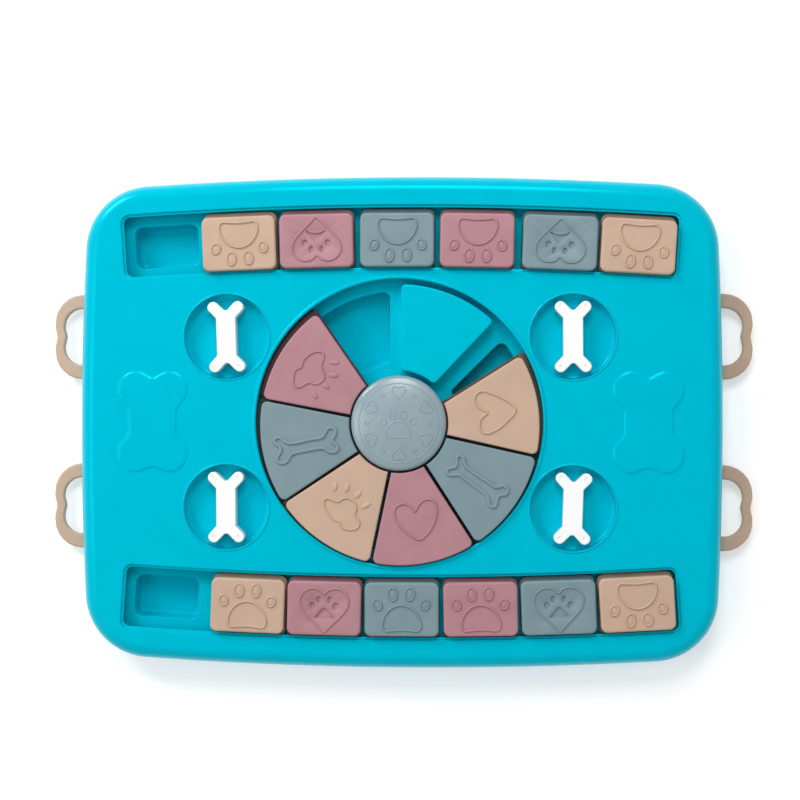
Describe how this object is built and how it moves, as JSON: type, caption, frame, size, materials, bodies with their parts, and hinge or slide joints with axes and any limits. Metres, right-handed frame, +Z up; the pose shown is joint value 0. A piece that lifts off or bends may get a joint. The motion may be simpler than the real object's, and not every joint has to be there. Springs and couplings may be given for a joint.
{
  "type": "dog puzzle feeder tray",
  "caption": "Teal dog puzzle feeder: two rows of sliding blocks, a ring of sliding wedges round a squeaker hub, bone-covered cups, carrying loops.",
  "frame": {"origin": "centre of the footprint on the table plane, under the hub axis", "axes": "+X along the long side to the right, +Y towards the rear row of blocks, +Z up, away from the table"},
  "size_m": [0.4312, 0.2986, 0.0392],
  "materials": {
    "teal_shell": "semi-gloss moulded teal ABS",
    "tan_block": "satin moulded tan plastic",
    "pink_block": "satin moulded dusty pink plastic",
    "bluegrey_block": "satin moulded blue-grey plastic",
    "white_gloss": "glossy white moulded plastic",
    "hub_satin": "satin printed plastic cap",
    "bellows_rubber": "soft translucent rubber",
    "foot_rubber": "black non-slip rubber",
    "screw_steel": "zinc-plated self-tapping screw"
  },
  "bodies": {
    "tray": {"tray_top": "teal_shell", "base_cover": "teal_shell", "row_tray_rear": "teal_shell", "row_tray_front": "teal_shell", "wheel_tray": "teal_shell", "hub_collar": "teal_shell", "squeaker_bellows": "bellows_rubber", "squeaker_reed": "white_gloss", "handle_rear_left": "tan_block", "handle_rear_right": "tan_block", "handle_front_left": "tan_block", "handle_front_right": "tan_block", "foot_rear_left": "foot_rubber", "foot_rear_right": "foot_rubber", "foot_front_left": "foot_rubber", "foot_front_right": "foot_rubber", "foot_rear_middle": "foot_rubber", "foot_front_middle": "foot_rubber", "base_screws": "screw_steel", "handle_screws": "screw_steel", "pocket_tray_screws": "screw_steel", "collar_screws": "screw_steel"},
    "block_rear_1": {"block_rear_1": "tan_block"},
    "block_rear_2": {"block_rear_2": "pink_block"},
    "block_rear_3": {"block_rear_3": "bluegrey_block"},
    "block_rear_4": {"block_rear_4": "pink_block"},
    "block_rear_5": {"block_rear_5": "bluegrey_block"},
    "block_rear_6": {"block_rear_6": "tan_block"},
    "block_front_1": {"block_front_1": "tan_block"},
    "block_front_2": {"block_front_2": "pink_block"},
    "block_front_3": {"block_front_3": "bluegrey_block"},
    "block_front_4": {"block_front_4": "pink_block"},
    "block_front_5": {"block_front_5": "bluegrey_block"},
    "block_front_6": {"block_front_6": "tan_block"},
    "wedge_1": {"wedge_1": "pink_block"},
    "wedge_2": {"wedge_2": "bluegrey_block"},
    "wedge_3": {"wedge_3": "tan_block"},
    "wedge_4": {"wedge_4": "pink_block"},
    "wedge_5": {"wedge_5": "bluegrey_block"},
    "wedge_6": {"wedge_6": "tan_block"},
    "bone_rear_left": {"bone_rear_left": "white_gloss"},
    "bone_rear_right": {"bone_rear_right": "white_gloss"},
    "bone_front_left": {"bone_front_left": "white_gloss"},
    "bone_front_right": {"bone_front_right": "white_gloss"},
    "hub_button": {"hub_button": "hub_satin"}
  },
  "joints": [
    {"name": "slide_rear_1", "type": "slide", "parent": "tray", "child": "block_rear_1", "axis": [-0.9988, -0.0499, 0], "range_m": [0, 0.0475]},
    {"name": "slide_rear_2", "type": "slide", "parent": "tray", "child": "block_rear_2", "axis": [-0.9995, -0.0305, 0], "range_m": [0, 0.0475]},
    {"name": "slide_rear_3", "type": "slide", "parent": "tray", "child": "block_rear_3", "axis": [-0.9999, -0.0103, 0], "range_m": [0, 0.0475]},
    {"name": "slide_rear_4", "type": "slide", "parent": "tray", "child": "block_rear_4", "axis": [-1, 0.0096, 0], "range_m": [0, 0.0475]},
    {"name": "slide_rear_5", "type": "slide", "parent": "tray", "child": "block_rear_5", "axis": [-0.9995, 0.0302, 0], "range_m": [0, 0.0475]},
    {"name": "slide_rear_6", "type": "slide", "parent": "tray", "child": "block_rear_6", "axis": [-0.9988, 0.0495, 0], "range_m": [0, 0.0475]},
    {"name": "slide_front_1", "type": "slide", "parent": "tray", "child": "block_front_1", "axis": [-0.9988, 0.0487, 0], "range_m": [0, 0.053]},
    {"name": "slide_front_2", "type": "slide", "parent": "tray", "child": "block_front_2", "axis": [-0.9996, 0.0295, 0], "range_m": [0, 0.053]},
    {"name": "slide_front_3", "type": "slide", "parent": "tray", "child": "block_front_3", "axis": [-0.9999, 0.0102, 0], "range_m": [0, 0.053]},
    {"name": "slide_front_4", "type": "slide", "parent": "tray", "child": "block_front_4", "axis": [-1, -0.0095, 0], "range_m": [0, 0.053]},
    {"name": "slide_front_5", "type": "slide", "parent": "tray", "child": "block_front_5", "axis": [-0.9996, -0.0288, 0], "range_m": [0, 0.053]},
    {"name": "slide_front_6", "type": "slide", "parent": "tray", "child": "block_front_6", "axis": [-0.9988, -0.0481, 0], "range_m": [0, 0.053]},
    {"name": "swing_1", "type": "hinge", "parent": "tray", "child": "wedge_1", "pos_m": [0, 0, 0.0235], "axis": [0, 0, 1], "range_deg": [-32, 13]},
    {"name": "swing_2", "type": "hinge", "parent": "tray", "child": "wedge_2", "pos_m": [0, 0, 0.0235], "axis": [0, 0, 1], "range_deg": [-32, 13]},
    {"name": "swing_3", "type": "hinge", "parent": "tray", "child": "wedge_3", "pos_m": [0, 0, 0.0235], "axis": [0, 0, 1], "range_deg": [-32, 13]},
    {"name": "swing_4", "type": "hinge", "parent": "tray", "child": "wedge_4", "pos_m": [0, 0, 0.0235], "axis": [0, 0, 1], "range_deg": [-32, 13]},
    {"name": "swing_5", "type": "hinge", "parent": "tray", "child": "wedge_5", "pos_m": [0, 0, 0.0235], "axis": [0, 0, 1], "range_deg": [-32, 13]},
    {"name": "swing_6", "type": "hinge", "parent": "tray", "child": "wedge_6", "pos_m": [0, 0, 0.0235], "axis": [0, 0, 1], "range_deg": [-32, 13]},
    {"name": "lift_rear_left", "type": "slide", "parent": "tray", "child": "bone_rear_left", "axis": [0, 0, 1], "range_m": [0, 0.03]},
    {"name": "lift_rear_right", "type": "slide", "parent": "tray", "child": "bone_rear_right", "axis": [0, 0, 1], "range_m": [0, 0.03]},
    {"name": "lift_front_left", "type": "slide", "parent": "tray", "child": "bone_front_left", "axis": [0, 0, 1], "range_m": [0, 0.03]},
    {"name": "lift_front_right", "type": "slide", "parent": "tray", "child": "bone_front_right", "axis": [0, 0, 1], "range_m": [0, 0.03]},
    {"name": "press_hub", "type": "slide", "parent": "tray", "child": "hub_button", "axis": [0, 0, 1], "range_m": [-0.003, 0], "stiffness_N_per_m": 600, "deforming": ["squeaker_bellows"]}
  ],
  "couplings": [
    {"joint": "slide_rear_2", "follows": "slide_rear_1", "ratio": 1},
    {"joint": "slide_rear_3", "follows": "slide_rear_1", "ratio": 1},
    {"joint": "slide_rear_4", "follows": "slide_rear_1", "ratio": 1},
    {"joint": "slide_rear_5", "follows": "slide_rear_1", "ratio": 1},
    {"joint": "slide_rear_6", "follows": "slide_rear_1", "ratio": 1},
    {"joint": "slide_front_2", "follows": "slide_front_1", "ratio": 1},
    {"joint": "slide_front_3", "follows": "slide_front_1", "ratio": 1},
    {"joint": "slide_front_4", "follows": "slide_front_1", "ratio": 1},
    {"joint": "slide_front_5", "follows": "slide_front_1", "ratio": 1},
    {"joint": "slide_front_6", "follows": "slide_front_1", "ratio": 1},
    {"joint": "swing_2", "follows": "swing_1", "ratio": 1},
    {"joint": "swing_3", "follows": "swing_1", "ratio": 1},
    {"joint": "swing_4", "follows": "swing_1", "ratio": 1},
    {"joint": "swing_5", "follows": "swing_1", "ratio": 1},
    {"joint": "swing_6", "follows": "swing_1", "ratio": 1}
  ]
}
